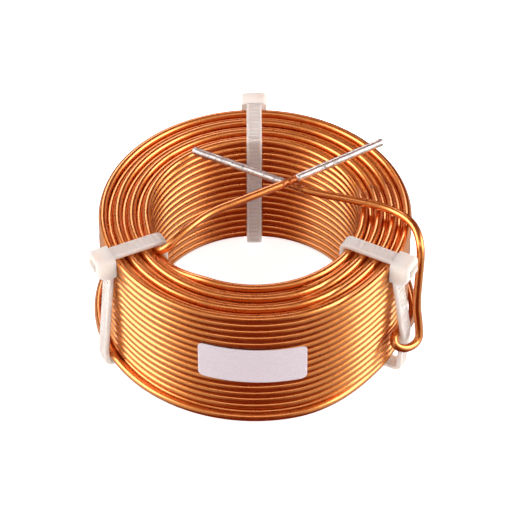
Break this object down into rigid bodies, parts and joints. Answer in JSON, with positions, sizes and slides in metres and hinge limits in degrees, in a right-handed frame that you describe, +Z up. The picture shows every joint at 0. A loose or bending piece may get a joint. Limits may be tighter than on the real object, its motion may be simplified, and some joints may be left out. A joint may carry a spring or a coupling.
{
  "type": "speaker crossover inductor",
  "caption": "Air-core speaker crossover inductor: a ring of nested enamelled copper wire held by nylon cable ties, with a blank wall label and tinned solid leads crossing above the bore.",
  "frame": {"origin": "on the coil's axis, in the plane that the undersides of the cable ties rest on", "axes": "+Z up along the coil's axis; -Y towards the label; the leads point to +X +Y and -X +Y"},
  "size_m": [0.0645, 0.0663, 0.0327],
  "materials": {
    "enamelled_copper": "glossy amber enamel over bright copper",
    "solder": "hand-dipped solder, slightly lumpy",
    "nylon": "natural nylon, milky and slightly translucent",
    "label_paper": "matt self-adhesive paper"
  },
  "bodies": {
    "root": {"winding_wire": "enamelled_copper", "start_lead_tin": "solder", "finish_lead_tin": "solder", "cable_tie_rear": "nylon", "cable_tie_left": "nylon", "cable_tie_right": "nylon", "value_label": "label_paper"}
  },
  "joints": []
}
